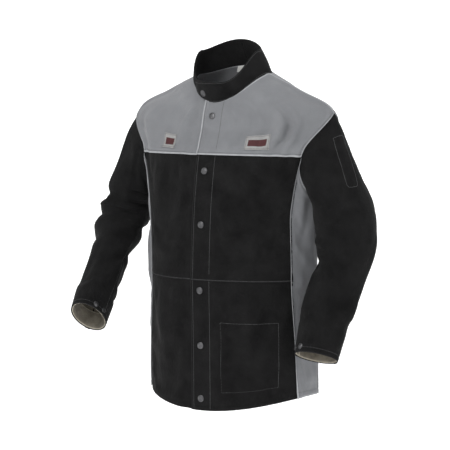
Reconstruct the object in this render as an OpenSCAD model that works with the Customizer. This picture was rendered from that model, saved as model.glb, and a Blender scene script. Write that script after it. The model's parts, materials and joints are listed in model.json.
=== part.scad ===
// Welding jacket: split-leather fronts, collar and sleeves, flame-resistant cotton yoke, sides and back.
// Frame: +Z up, -Y is the wearer's front, +X the wearer's left. The origin is the middle of the hem
// opening, at the height of the front hem. The jacket stands as it does on a hanger form.

/* [Body] */
// Half width of the jacket at the waist seam
waist_half_width = 200; // [185:1:215]
// Depth from the middle to the front at the waist seam
waist_front_depth = 144; // [130:1:150]
// Half width across the shoulder tips
shoulder_half_width = 256; // [245:1:262]
// Height of the shoulder tips above the hem
shoulder_height = 658; // [645:1:670]
// Height of the seam between the two leather pieces of each front
waist_seam_height = 289; // [270:1:300]
// Height of the seam under the cotton yoke
yoke_seam_height = 565; // [555:1:575]

/* [Collar] */
// Height of the collar's top edge at the front
collar_front_top = 724; // [715:1:735]
// Height of the collar's top edge at the back
collar_back_top = 820; // [805:1:830]

/* [Materials] */
// Thickness of the split leather
leather = 2.0; // [1.6:0.1:2.2]
// Thickness of the cotton
cotton = 1.6; // [1.2:0.1:1.8]
// Thickness of facings and linings
facing = 1.2; // [0.8:0.1:1.4]

/* [Front closure] */
// Half width of the overlap between the two fronts
lap = 25; // [22:1:27]
// How far the right front lies under the left one
lap_drop = 6.0; // [5.8:0.1:6.2]
// Radius of a snap cap
cap_r = 7.5; // [6:0.5:8]

/* [Hidden] */

seam_gap = 0.003;      // gap between neighbouring pieces, as a share of a ring step
fold_gap = 11;         // width of the free strip along each front's fold line
neck_x = 88;
neck_front = 84;
neck_back = 64;
neck_back_height = 762;

// Rings round the body: height at front, side and back, half width, depth at front and back.
TORSO = [
  [0, 34, 14, waist_half_width + 5, 139, 124],
  [150, 156, 152, waist_half_width + 4, 141, 124],
  [waist_seam_height, waist_seam_height, waist_seam_height, waist_half_width, waist_front_depth, 121],
  [412, 412, 412, waist_half_width + 6, 139, 123],
  [490, 486, 490, 216, 131, 125],
  [yoke_seam_height, yoke_seam_height - 2, yoke_seam_height + 5, 233, 118, 122],
  [618, shoulder_height, 642, shoulder_half_width, 101, 112],
  [655, 705, 706, 172, 92, 92],
  [680, 742, neck_back_height, neck_x, neck_front, neck_back]
];
NECK_STEP = len(TORSO) - 1;
WAIST_STEP = 2;
YOKE_STEP = 5;
SHOULDER_STEP = 6;

// Collar rings, from the neck seam to the top edge, in the same columns.
COLLAR = [
  [680, 742, neck_back_height, neck_x, neck_front, neck_back],
  [700, 767, 786, 85, 91, 56],
  [collar_front_top, 795, collar_back_top, 75, 94, 46]
];
COLLAR_LEAN = 13;      // how far the collar's top edge leans to the wearer's right

// Sleeve rings: centre x, y, z, then the half sizes across and fore and aft. Ring 0 is the armhole.
LEFT_ARM = [
  [235, 0, 570, 88, 62], [284, 2, 470, 65, 66], [294, 2, 392, 63, 60],
  [281, -20, 300, 56, 50], [269, -54, 216, 57, 46], [268, -92, 131, 50, 42]
];
RIGHT_ARM = [
  [235, 0, 570, 88, 62], [277, -5, 478, 58, 66], [300, -18, 400, 60, 58],
  [286, -92, 318, 44, 52], [275, -146, 257, 42, 53], [262, -200, 198, 38, 51]
];
ELBOW = 2;
CUFF = 5;
ARMHOLE_LEAN = 21;     // how much further out the armhole's top is than its middle
ARMHOLE_WAIST = 28;    // how much further in its front and back are
SLEEVE_INSET = 0.95;   // the sleeve head's size in the armhole

SNAP_HEIGHTS = [27, 145, 267, 412, 530, 650];

// ---- numbers and points ----
function cubic(p, u) = 0.5 * (2 * p[1] + (p[2] - p[0]) * u + (2 * p[0] - 5 * p[1] + 4 * p[2] - p[3]) * u * u
  + (3 * p[1] - p[0] - 3 * p[2] + p[3]) * u * u * u);
function along(rows, t) = let (last = len(rows) - 1, i = max(0, min(floor(t), last - 1)))
  cubic([rows[max(i - 1, 0)], rows[i], rows[i + 1], rows[min(i + 2, last)]], t - i);
function mix(a, b, u) = a + (b - a) * u;
function smooth(a, b, x) = let (u = max(0, min(1, (x - a) / (b - a)))) u * u * (3 - 2 * u);
function unit(v) = v / norm(v);

// A point on a ring: angle 0 is the front and 90 the wearer's left.
// The front's height rises to the side's with the sine to the power rise.
function on_ring(r, angle, rise = 2) = let (c = cos(angle), s = sin(angle)) [
  r[3] * s, -(c > 0 ? r[4] : r[5]) * c, mix(c > 0 ? r[0] : r[2], r[1], c > 0 ? pow(abs(s), rise) : s * s)];
torso = function (angle, t) on_ring(along(TORSO, t), angle);
function collar_skin(side) = function (angle, t)
  on_ring(along(COLLAR, t), angle, 2 + 1.5 * t) - [side * COLLAR_LEAN * t / 2, 0, 0];
collar = collar_skin(1);

// A point h outside a skin f(a, b).
function off(f, a, b, h) = let (
  da = f(a + 0.5, b) - f(a - 0.5, b),
  db = f(a, b + 0.01) - f(a, b - 0.01)
) f(a, b) + h * unit(cross(da, db));

// The angle at which a ring reaches x, and the height step at which the front reaches z.
function angle_at(rows, x, t) = asin(max(-1, min(1, x / along(rows, t)[3])));
function step_at(z, lo = 0, hi = NECK_STEP, n = 16) = n == 0 ? (lo + hi) / 2 :
  along(TORSO, (lo + hi) / 2)[0] < z ? step_at(z, (lo + hi) / 2, hi, n - 1) : step_at(z, lo, (lo + hi) / 2, n - 1);

// ---- seam lines ----
function side_seam(t) = t < WAIST_STEP ? mix(70, 66, t / WAIST_STEP) : mix(66, 62, smooth(WAIST_STEP, 3.4, t));
function armhole_front(t) = t < YOKE_STEP ? side_seam(t) :
  t < SHOULDER_STEP ? 62 + 28 * pow(t - YOKE_STEP, 2.2) : 90;
function fold_x(t) = 165 - 0.14 * along(TORSO, t)[0];
function armpit(angle) = YOKE_STEP - 1.12 * sqrt(max(0, 1 - pow((angle - 90) / 28, 2)));

// A closed sheet between two point grids with the same rows and columns.
module sheet(outer, inner) {
  n = len(outer);
  m = len(outer[0]);
  points = [for (row = outer) each row, for (row = inner) each row];
  low = n * m;
  polyhedron(points, [
    for (i = [0 : n - 2], j = [0 : m - 2]) let (a = i * m + j, b = a + 1, c = a + m, d = c + 1)
      each [[a, c, b], [b, c, d], [low + a, low + b, low + c], [low + b, low + d, low + c]],
    for (j = [0 : m - 2]) let (a = j, b = j + 1) each [[a, b, low + a], [b, low + b, low + a]],
    for (j = [0 : m - 2]) let (a = (n - 1) * m + j, b = a + 1) each [[a, low + a, b], [b, low + a, low + b]],
    for (i = [0 : n - 2]) let (a = i * m, c = a + m) each [[a, low + a, c], [c, low + a, low + c]],
    for (i = [0 : n - 2]) let (a = i * m + m - 1, c = a + m) each [[a, c, low + a], [c, low + c, low + a]]
  ], convexity = 6);
}

// The sheet of thickness thick under place(u, v, h), with u and v from 0 to 1.
module piece(place, thick, columns, rows, depth = 0) {
  sheet(
    [for (i = [0 : rows]) [for (j = [0 : columns]) place(j / columns, i / rows, -depth)]],
    [for (i = [0 : rows]) [for (j = [0 : columns]) place(j / columns, i / rows, -depth - thick)]]
  );
}

// ---- body pieces, drawn for the wearer's left; the right ones are mirrored ----
function drop_at(under, x) = under ? lap_drop * (1 - smooth(42, 66, x)) : 0;

module front_side(t0, t1, thick) {
  a = t0 + seam_gap;
  b = t1 - seam_gap;
  piece(function (u, v, h) let (t = mix(a, b, v),
      x0 = angle_at(TORSO, fold_x(t) + fold_gap / 2, t), angle = mix(x0, armhole_front(t) - 0.15, u))
    off(torso, angle, t, h), thick, 8, 9);
}

module front_flap(t0, t1, thick, under) {
  a = t0 + seam_gap;
  b = t1 - seam_gap;
  piece(function (u, v, h) let (t = mix(a, b, v), x = mix(-lap, fold_x(t) - fold_gap / 2, u))
    off(torso, angle_at(TORSO, x, t), t, h - drop_at(under, x)), thick, 10, 9);
}

module placket_facing(under) {
  piece(function (u, v, h) let (t = mix(0.02, NECK_STEP - 0.05, v), x = mix(0.5 - lap, lap, u))
    off(torso, angle_at(TORSO, x, t), t, h - drop_at(under, x)), facing, 4, 24, leather + 0.3);
}

module side_panel() {
  piece(function (u, v, h) let (angle0 = mix(62, 118, u), t = mix(0.003, armpit(angle0) - seam_gap, v),
      first = side_seam(t) + 0.15, angle = mix(first, 180 - first, u))
    off(torso, angle, t, h), cotton, 12, 14);
}

module back_panel() {
  piece(function (u, v, h) let (t = mix(0.003, YOKE_STEP - seam_gap, v), first = 180 - side_seam(t) + 0.15)
    off(torso, mix(first, 360 - first, u), t, h), cotton, 16, 14);
}

module back_yoke() {
  piece(function (u, v, h) let (t = mix(YOKE_STEP + seam_gap, NECK_STEP - seam_gap, v),
      first = 180 - armhole_front(t) + 0.2)
    off(torso, mix(first, 360 - first, u), t, h), cotton, 16, 10);
}

// ---- collar ----
COLLAR_LAP = [45, 25];  // how far past the middle the left end reaches over the right, and the right under it
COLLAR_SNAP_X = -21;
function collar_fold(t) = 71 - 4 * t;

module collar_back(thick, depth = 0) {
  piece(function (u, v, h) let (t = mix(0.06, 2, v), first = angle_at(COLLAR, collar_fold(t) + fold_gap / 2, t))
    off(collar, mix(first, 360 - first, u), t, h), thick, 20, 5, depth);
}

module collar_end(thick, under, depth = 0) {
  reach = COLLAR_LAP[under ? 1 : 0];
  piece(function (u, v, h) let (t = mix(0.06, 2, v), x = mix(-reach, collar_fold(t) - fold_gap / 2, u))
    off(collar_skin(under ? -1 : 1), angle_at(COLLAR, x, t), t, h - drop_at(under, x)), thick, 9, 5, depth);
}

module neck_label() {
  piece(function (u, v, h) off(torso, mix(180, 200, u), mix(7.66, 7.98, v), h), 0.6, 3, 2, cotton + 0.4);
}

module chest_patch(x0, x1, z0, z1) {
  piece(function (u, v, h) let (t = mix(step_at(z0), step_at(z1), v)) 
    off(torso, angle_at(TORSO, mix(x0, x1, u), t), t, h), 1.0, 5, 3, -1.05);
}

// ---- pockets ----
POCKET_X = [50, 136];
POCKET_Z = [41, 199];
POCKET_ROOM = 9;       // the widest gap between the front and the pocket bag

module pocket_bag() {
  wall = 1.2;
  rim = function (w) smooth(0, 0.12, w) * smooth(0, 0.12, 1 - w);
  place = function (u, v, h) let (t = step_at(mix(POCKET_Z[0], POCKET_Z[1], v)), x = mix(POCKET_X[0], POCKET_X[1], u),
      belly = POCKET_ROOM * rim(u) * smooth(0, 0.1, v))
    off(torso, angle_at(TORSO, x, t), t, h - belly);
  piece(place, wall, 14, 12, leather + 0.4);
}

// ---- sleeves ----
function arm_axis(rows, i) = let (last = len(rows) - 1)
  unit([for (k = [0 : 2]) rows[min(i + 1, last)][k] - rows[max(i - 1, 0)][k]]);
function arm_ring(rows, i, angle, scale) = let (r = rows[i], c = [r[0], r[1], r[2]]) i == 0 ?
  c + scale * [ARMHOLE_LEAN * sin(angle) - ARMHOLE_WAIST * pow(cos(angle), 2), -r[4] * cos(angle), r[3] * sin(angle)] :
  let (t = arm_axis(rows, i), side = unit([1, 0, 0] - t[0] * t)) c + cross(t, side) * r[4] * cos(angle)
    + side * r[3] * sin(angle);
function arm(rows) = let (n = len(rows) - 1) function (angle, q)
  along([for (i = [0 : n]) arm_ring(rows, i, angle, SLEEVE_INSET)], q);

ARMHOLE_ROOM = 0.22;   // how far from the armhole a sleeve's stiff tube starts, so that it can be raised

// How far a tube stops short of the elbow, so that it can bend: more in the crook than behind.
function elbow_room(angle) = (2 + (cos(angle) > 0 ? 23 : 12) * abs(cos(angle))) / 90;

module sleeve_tube(rows, upper, outer, thick) {
  first = outer ? -8 : 173;
  last = outer ? 172 : 351;
  skin = arm(rows);
  piece(function (u, v, h) let (angle = mix(first, last, u),
      q = upper ? mix(ARMHOLE_ROOM, ELBOW - elbow_room(angle), v) : mix(ELBOW + elbow_room(angle), CUFF, v))
    off(skin, angle, q, -h), -thick, 12, upper ? 9 : 11);
}

CUFF_CLEARANCE = 0.7;  // between the cuff's leather and the facing inside it
module cuff_facing(rows) {
  skin = arm(rows);
  for (half = [0, 1])
    piece(function (u, v, h) off(skin, mix(1, 179, u) + 180 * half, mix(CUFF - 0.62, CUFF - 0.02, v), -h),
      -facing, 10, 4, -leather - CUFF_CLEARANCE);
}

SLEEVE_POCKET = [[56, 92], [0.3, 0.88]];   // angles round the sleeve, and the stretch along it
module sleeve_pocket_bag() {
  skin = arm(LEFT_ARM);
  piece(function (u, v, h) off(skin, mix(SLEEVE_POCKET[0][0], SLEEVE_POCKET[0][1], u),
    mix(SLEEVE_POCKET[1][0], SLEEVE_POCKET[1][1], v), -h), -facing, 4, 7, -leather - 0.5);
}

// ---- snap fasteners: each is placed on the skin, pointing out along its normal ----
module stand(at, out) {
  turn = acos(out[2]);
  axis = cross([0, 0, 1], out);
  translate(at) rotate(turn, axis) children();
}
module front_snaps(depth) {
  for (z = SNAP_HEIGHTS) {
    t = step_at(z);
    stand(off(torso, 0, t, -depth), unit(off(torso, 0, t, 1) - torso(0, t))) children();
  }
  snap_angle = angle_at(COLLAR, COLLAR_SNAP_X, 0.95);
  out = unit(off(collar, snap_angle, 0.95, 1) - collar(snap_angle, 0.95));
  stand(off(collar, snap_angle, 0.95, -depth), out) children();
}
function cuff_snap_angles(left) = left ? [305, 335] : [275, 305];
module cuff_snaps(rows, angles, depth) {
  skin = arm(rows);
  for (angle = angles) {
    at = skin(angle, CUFF - 0.2);
    out = unit(off(skin, angle, CUFF - 0.2, -1) - at);
    stand(at - depth * out, out) children();
  }
}

// A domed cap with a rolled rim and the post that goes through the leather.
module cap(r) {
  rotate_extrude($fn = 48) polygon([
    [0, -leather + 0.2], [1.4, -leather + 0.2], [1.4, 0], [r, 0], [r, 0.9], [r - 0.9, 1.5],
    for (a = [20 : 10 : 90]) [(r - 1.6) * cos(a), 1.3 + 1.1 * sin(a)]
  ]);
}
module socket() {
  rotate_extrude($fn = 48) polygon([[2.6, 0], [5.6, 0], [5.6, 1.1], [5.0, 1.7], [2.6, 1.7]]);
}
module stud() {
  rotate_extrude($fn = 48) polygon([[0, 0], [5.6, 0], [5.6, 0.4], [2.1, 0.6], [1.8, 1.0], [2.2, 1.5], [1.8, 1.8], [0, 1.8]]);
}
module post() {
  rotate_extrude($fn = 48) polygon([[0, 0], [5.2, 0], [5.2, 0.8], [4.6, 1.2], [0, 1.2]]);
}

// ---- the object ----
black = "#1c1c1d";
grey = "#7c7e83";
metal = "#5f6163";
tan = "#a39d8c";

color(grey) back_yoke();
color(grey) back_panel();
color(grey) side_panel();  // side_panel_left
color(grey) mirror([1, 0, 0]) side_panel();  // side_panel_right
color(grey) front_side(YOKE_STEP, NECK_STEP, cotton);  // yoke_left
color(grey) mirror([1, 0, 0]) front_side(YOKE_STEP, NECK_STEP, cotton);  // yoke_right
color(black) front_side(WAIST_STEP, YOKE_STEP, leather);  // front_upper_left
color(black) mirror([1, 0, 0]) front_side(WAIST_STEP, YOKE_STEP, leather);  // front_upper_right
color(black) front_side(0, WAIST_STEP, leather);  // front_lower_left
color(black) mirror([1, 0, 0]) front_side(0, WAIST_STEP, leather);  // front_lower_right
color(grey) front_flap(YOKE_STEP, NECK_STEP, cotton, false);  // yoke_left_flap
color(grey) mirror([1, 0, 0]) front_flap(YOKE_STEP, NECK_STEP, cotton, true);  // yoke_right_flap
color(black) front_flap(WAIST_STEP, YOKE_STEP, leather, false);  // front_upper_left_flap
color(black) mirror([1, 0, 0]) front_flap(WAIST_STEP, YOKE_STEP, leather, true);  // front_upper_right_flap
color(black) front_flap(0, WAIST_STEP, leather, false);  // front_lower_left_flap
color(black) mirror([1, 0, 0]) front_flap(0, WAIST_STEP, leather, true);  // front_lower_right_flap
color(black) placket_facing(false);  // placket_facing_left
color(black) mirror([1, 0, 0]) placket_facing(true);  // placket_facing_right
color(black) collar_back(leather);
color(black) collar_end(leather, false);  // collar_left_end
color(black) mirror([1, 0, 0]) collar_end(leather, true);  // collar_right_end
color(black) collar_back(facing, leather + 0.15);  // collar_lining_back
color(black) collar_end(facing, false, leather + 0.15);  // collar_lining_left
color(black) mirror([1, 0, 0]) collar_end(facing, true, leather + 0.15);  // collar_lining_right
color("white") neck_label();
color("silver") chest_patch(90, 146, 577, 596);  // chest_patch_left
color("silver") mirror([1, 0, 0]) chest_patch(90, 134, 577, 596);  // chest_patch_right
color(black) pocket_bag();
color(black) sleeve_pocket_bag();
color(metal) front_snaps(-0.05) cap(cap_r);  // snap_caps
color(metal) front_snaps(leather + facing + 1.7) socket();  // snap_sockets
color(metal) front_snaps(lap_drop) stud();  // snap_studs
color(metal) front_snaps(lap_drop + leather + facing + 1.35) post();  // snap_posts
color(black) sleeve_tube(LEFT_ARM, true, true, leather);  // upper_sleeve_left_outer
color(black) sleeve_tube(LEFT_ARM, true, false, leather);  // upper_sleeve_left_under
color(black) sleeve_tube(LEFT_ARM, false, true, leather);  // forearm_left_outer
color(black) sleeve_tube(LEFT_ARM, false, false, leather);  // forearm_left_under
color(black) mirror([1, 0, 0]) sleeve_tube(RIGHT_ARM, true, true, leather);  // upper_sleeve_right_outer
color(black) mirror([1, 0, 0]) sleeve_tube(RIGHT_ARM, true, false, leather);  // upper_sleeve_right_under
color(black) mirror([1, 0, 0]) sleeve_tube(RIGHT_ARM, false, true, leather);  // forearm_right_outer
color(black) mirror([1, 0, 0]) sleeve_tube(RIGHT_ARM, false, false, leather);  // forearm_right_under
color(tan) cuff_facing(LEFT_ARM);  // cuff_facing_left
color(tan) mirror([1, 0, 0]) cuff_facing(RIGHT_ARM);  // cuff_facing_right
color(metal) cuff_snaps(LEFT_ARM, cuff_snap_angles(true), -0.05) cap(cap_r - 1);  // cuff_snap_caps_left
color(metal) mirror([1, 0, 0]) cuff_snaps(RIGHT_ARM, cuff_snap_angles(false), -0.05) cap(cap_r - 1);  // cuff_snap_caps_right
color(metal) cuff_snaps(LEFT_ARM, cuff_snap_angles(true), leather + facing + 1.95) post();  // cuff_snap_studs_left
color(metal) mirror([1, 0, 0]) cuff_snaps(RIGHT_ARM, cuff_snap_angles(false), leather + facing + 1.95) post();  // cuff_snap_studs_right
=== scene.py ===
"""Looks of the welding jacket: split-leather fronts, collar and sleeves, cotton yoke, sides and back.

Lengths are in millimetres until a mesh is made, in the row frame: +Z up, -Y the wearer's front, +X the
wearer's left, the origin at the middle of the hem opening. Each panel is cut from a skin: a smooth surface
with sculpted folds and a simulated drape. Angle 0 on the body is the front and 90 the wearer's left.
"""

import json
import math

import bpy
import numpy as np
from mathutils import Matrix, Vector

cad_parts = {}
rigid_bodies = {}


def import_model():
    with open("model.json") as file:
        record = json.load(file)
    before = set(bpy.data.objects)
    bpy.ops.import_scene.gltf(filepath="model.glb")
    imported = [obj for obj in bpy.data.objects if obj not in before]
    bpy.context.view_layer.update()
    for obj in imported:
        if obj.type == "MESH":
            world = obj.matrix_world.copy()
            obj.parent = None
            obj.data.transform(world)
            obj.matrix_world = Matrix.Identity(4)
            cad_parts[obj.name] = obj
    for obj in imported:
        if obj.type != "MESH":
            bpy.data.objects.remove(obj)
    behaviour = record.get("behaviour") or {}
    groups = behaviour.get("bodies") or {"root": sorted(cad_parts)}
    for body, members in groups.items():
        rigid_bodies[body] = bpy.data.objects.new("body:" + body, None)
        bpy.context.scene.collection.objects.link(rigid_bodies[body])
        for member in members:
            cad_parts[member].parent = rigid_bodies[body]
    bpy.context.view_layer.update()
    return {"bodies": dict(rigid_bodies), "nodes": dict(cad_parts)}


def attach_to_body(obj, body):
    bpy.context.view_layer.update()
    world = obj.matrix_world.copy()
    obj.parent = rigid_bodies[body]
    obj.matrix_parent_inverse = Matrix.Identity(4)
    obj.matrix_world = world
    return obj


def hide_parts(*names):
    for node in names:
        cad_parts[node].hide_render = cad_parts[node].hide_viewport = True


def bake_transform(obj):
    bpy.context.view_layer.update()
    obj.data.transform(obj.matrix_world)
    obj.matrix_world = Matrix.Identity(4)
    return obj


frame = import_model()

MM = 0.001
LEATHER = 2.0
COTTON = 1.6
FACING = 1.2
LAP = 25.0  # half width of the overlap of the two fronts
LAP_DROP = 6.0  # how far the right front lies under the left one
LAP_EASE = (42, 66)  # distances from the middle between which it rises again
COLLAR_REACH = {1: 45.0, -1: 25.0}  # how far past the middle the left and right collar ends go
WAIST_STEP, YOKE_STEP, SHOULDER_STEP, NECK_STEP = 2, 5, 6, 8  # the rings of TORSO at these seams
ARMHOLE_HALF = 28  # half width of the armhole, in degrees either side of 90
ARMPIT_DROP = 1.12  # how far the armhole reaches below the yoke's hem, in rings
ARMHOLE_POWER = 2.2  # how square the armhole's top is

# Rings round the body: height at front, side and back, half width, depth at front and back.
TORSO = np.array([
    [0, 34, 14, 205, 139, 124],
    [150, 156, 152, 204, 141, 124],
    [289, 289, 289, 200, 144, 121],
    [412, 412, 412, 206, 139, 123],
    [490, 486, 490, 216, 131, 125],
    [565, 563, 570, 233, 118, 122],
    [618, 658, 642, 256, 101, 112],
    [655, 705, 706, 172, 92, 92],
    [680, 742, 762, 88, 84, 64],
], float)

# Collar rings from the neck seam to the top edge, in the same columns.
COLLAR = np.array([
    [680, 742, 762, 88, 84, 64],
    [700, 767, 786, 85, 91, 56],
    [724, 795, 820, 75, 94, 46],
], float)

# Sleeve rings after the armhole: centre x, y, z, then the half sizes across and fore and aft.
LEFT_ARM = np.array([
    [282, 2, 470, 63, 66],
    [294, 2, 392, 63, 60],
    [281, -20, 300, 56, 50],
    [269, -54, 216, 57, 46],
    [268, -92, 131, 50, 42],
], float)
RIGHT_ARM = np.array([
    [277, -5, 478, 58, 66],
    [300, -18, 400, 60, 58],
    [286, -92, 318, 44, 52],
    [275, -146, 257, 42, 53],
    [262, -200, 198, 38, 51],
], float)
COLLAR_LEAN = 13  # how far the collar's top edge leans to the wearer's right
COLLAR_TOP = 2
CUFF = 5  # the sleeve's last ring, counted from the armhole at 0
SPLIT = 1.72  # where each sleeve is cut, near the elbow


# ---- surfaces ----
def along(rows, t):
    """The Catmull-Rom curve through rows, at t from 0 to len(rows) - 1."""
    last = len(rows) - 1
    i = np.clip(np.floor(t).astype(int), 0, last - 1)
    u = np.asarray(t - i)
    u = u.reshape(u.shape + (1,) * (rows.ndim - 1))
    p, q, r, s = (rows[np.clip(i + k, 0, last)] for k in (-1, 0, 1, 2))
    return 0.5 * (2 * q + (r - p) * u + (2 * p - 5 * q + 4 * r - s) * u**2 + (3 * q - p - 3 * r + s) * u**3)


def smooth(low, high, x):
    u = np.clip((x - low) / (high - low), 0, 1)
    return u * u * (3 - 2 * u)


def unit(v):
    return v / np.maximum(np.linalg.norm(v, axis=-1, keepdims=True), 1e-12)


def on_ring(rings, angle, t, rise=2.0):
    """A point on the ring at t; the front's height rises to the side's with the sine to the power rise."""
    angle, t = np.broadcast_arrays(np.asarray(angle, float), np.asarray(t, float))
    r = along(rings, t)
    c, s = np.cos(np.radians(angle)), np.sin(np.radians(angle))
    x = r[..., 3] * s
    y = -np.where(c > 0, r[..., 4], r[..., 5]) * c
    share = np.where(c > 0, np.abs(s) ** rise, s * s)
    z = np.where(c > 0, r[..., 0], r[..., 2]) * (1 - share) + r[..., 1] * share
    return np.stack([x, y, z], -1)


def angle_at(rings, x, t):
    """The angle at which the ring at t reaches x, on the front."""
    return np.degrees(np.arcsin(np.clip(x / along(rings, np.asarray(t, float))[..., 3], -1, 1)))


def ripple(a, b, crease):
    """One fold: height, centre a and b, half width across, half length along, slope of its line."""
    height, a0, b0, across, length, slope = crease
    da = (a - a0 - slope * (b - b0) + 180) % 360 - 180
    return height * np.exp(-((da / across) ** 2)) * np.exp(-(((b - b0) / length) ** 2))


class Skin:
    """A smooth surface in millimetres with folds, and a drape that the cloth simulation adds."""

    def __init__(self, base, folds=(), sign=1, still=None):
        self.base, self.folds, self.sign = base, folds, sign
        self.still = still or (lambda a, b: 1.0)  # 0 where a seam or a fastener keeps the skin from folding
        self.drape = None

    def slope(self, f, a, b):
        da = f(a + 0.4, b) - f(a - 0.4, b)
        db = f(a, b + 0.008) - f(a, b - 0.008)
        return self.sign * unit(np.cross(da, db))

    def folded(self, a, b):
        a, b = np.broadcast_arrays(np.asarray(a, float), np.asarray(b, float))
        height = sum((ripple(a, b, crease) for crease in self.folds), np.zeros(a.shape)) * self.still(a, b)
        return self.base(a, b) + height[..., None] * self.slope(self.base, a, b)

    def point(self, a, b):
        p = self.folded(a, b)
        return p if self.drape is None else p + self.drape(a, b)

    def place(self, a, b, h):
        return self.point(a, b) + np.asarray(h)[..., None] * self.slope(self.point, a, b)


def grid_quads(index):
    """The faces between the rows and columns of a grid of vertex numbers."""
    return np.stack([index[:-1, :-1], index[:-1, 1:], index[1:, 1:], index[1:, :-1]], -1).reshape(-1, 4)


def mesh_object(name, points, faces, *materials):
    """A smooth object of a mesh in metres."""
    mesh = bpy.data.meshes.new(name)
    mesh.from_pydata(points, [], faces)
    mesh.polygons.foreach_set("use_smooth", [True] * len(faces))
    for one in materials:
        mesh.materials.append(one)
    made = bpy.data.objects.new(name, mesh)
    bpy.context.scene.collection.objects.link(made)
    return made


# ---- the body's skin ----
def side_seam(t):
    """The angle of the front's side seam: 70 at the hem, 66 at the waist and 62 below the armhole."""
    low = 70 - 4 * np.clip(t / WAIST_STEP, 0, 1)
    return np.where(t < WAIST_STEP, low, 66 - 4 * smooth(WAIST_STEP, 3.4, t))


def armhole_front(t):
    """The angle at which the front ends: the side seam, then the armhole up to the shoulder."""
    rise = 90 - ARMHOLE_HALF + ARMHOLE_HALF * np.clip(t - YOKE_STEP, 0, 1) ** ARMHOLE_POWER
    return np.where(t < YOKE_STEP, side_seam(t), np.where(t < SHOULDER_STEP, rise, 90))


def armpit(angle):
    """The height step of the armhole's lower half."""
    return YOKE_STEP - ARMPIT_DROP * np.sqrt(np.clip(1 - ((angle - 90) / ARMHOLE_HALF) ** 2, 0, 1))


def armhole(phi):
    """The armhole's line on the body, as (angle, t): phi 0 is its front, 90 its top and 270 the armpit."""
    c, s = np.cos(np.radians(phi)), np.sin(np.radians(phi))
    upper = YOKE_STEP + (1 - np.abs(c)) ** (1 / ARMHOLE_POWER)
    return 90 - ARMHOLE_HALF * c, np.where(s > 0, upper, YOKE_STEP - ARMPIT_DROP * np.abs(s))


# height, angle, t, half width in degrees, half length in steps, slope in degrees per step
BODY_FOLDS = [
    (9, 51, 5.7, 3.2, 0.8, 4),
    (-8.5, 45, 5.75, 3, 0.75, 5),
    (6, 40, 5.9, 3, 0.8, 6),
    (-4, 33, 6.1, 3.4, 0.9, 6),
    (4, 58, 5.2, 3, 0.5, 0),
    (19, -79, 2.5, 8, 1.2, 0),
    (-3, 25, 6.4, 4, 0.9, 8),
    (3.5, -19, 6.2, 4, 0.9, -3),
    (-3, -30, 6.3, 4.5, 0.7, -4),
    (-7, -58, 5.4, 4, 0.6, -4),
    (4.5, -49, 5.6, 4, 0.7, -5),
    (-5, 78, 3, 5, 1.2, 5),
    (6, 90, 2.7, 6, 1.5, -3),
    (-5, 102, 2.3, 5, 1.4, -4),
    (4, 76, 1, 5, 1.3, 2),
    (-4, 96, 0.7, 6, 1.2, 3),
    (-5, -78, 3, 5, 1.2, -5),
    (6, -90, 2.7, 6, 1.5, 3),
    (-5, -102, 2.3, 5, 1.4, 4),
    (4, -76, 1, 5, 1.3, -2),
    (-3, 45, 3.3, 9, 1, 6),
    (3, 40, 1.2, 8, 1, -5),
    (-3, -42, 3.1, 8, 1.1, -6),
    (3, -38, 1.2, 8, 1, 4),
    (5, 128, 3.4, 5, 1.5, 6),
    (-5, 140, 2.8, 6, 1.6, 6),
    (5, 154, 2, 6, 1.8, 3),
    (-4, 170, 3, 7, 1.8, -3),
    (5, 186, 2.2, 6, 1.7, 4),
    (-5, 203, 2.9, 7, 1.6, -6),
    (5, 219, 2.2, 6, 1.6, -5),
    (-5, 233, 3.3, 5, 1.4, -6),
    (3, 148, 6, 6, 0.9, 8),
    (-3, 165, 6.1, 7, 0.9, 3),
    (3, 205, 6, 7, 0.9, -8),
]


def body_still(angle, t):
    """The fronts' edges stay flat for the snaps, and the armholes, neck and hem keep their lines."""
    x = np.abs(on_ring(TORSO, angle, t)[..., 0])
    front = np.cos(np.radians(angle)) > 0
    flat = np.where(front, smooth(30, 60, x), 1)
    top = 1 - smooth(7.2, 7.9, t)
    tip = np.minimum(1, 4 * np.abs(np.cos(np.radians(angle))) + np.abs(t - SHOULDER_STEP) / 0.6)
    return flat * top * tip * (0.35 + 0.65 * smooth(0, 0.5, t))


body = Skin(lambda a, t: on_ring(TORSO, a, t), BODY_FOLDS, still=body_still)
collar = Skin(lambda a, t: on_ring(COLLAR, a, t, 2 + 1.5 * np.asarray(t, float))
              - np.asarray(t, float)[..., None] * np.array([COLLAR_LEAN / 2, 0, 0]))


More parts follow.
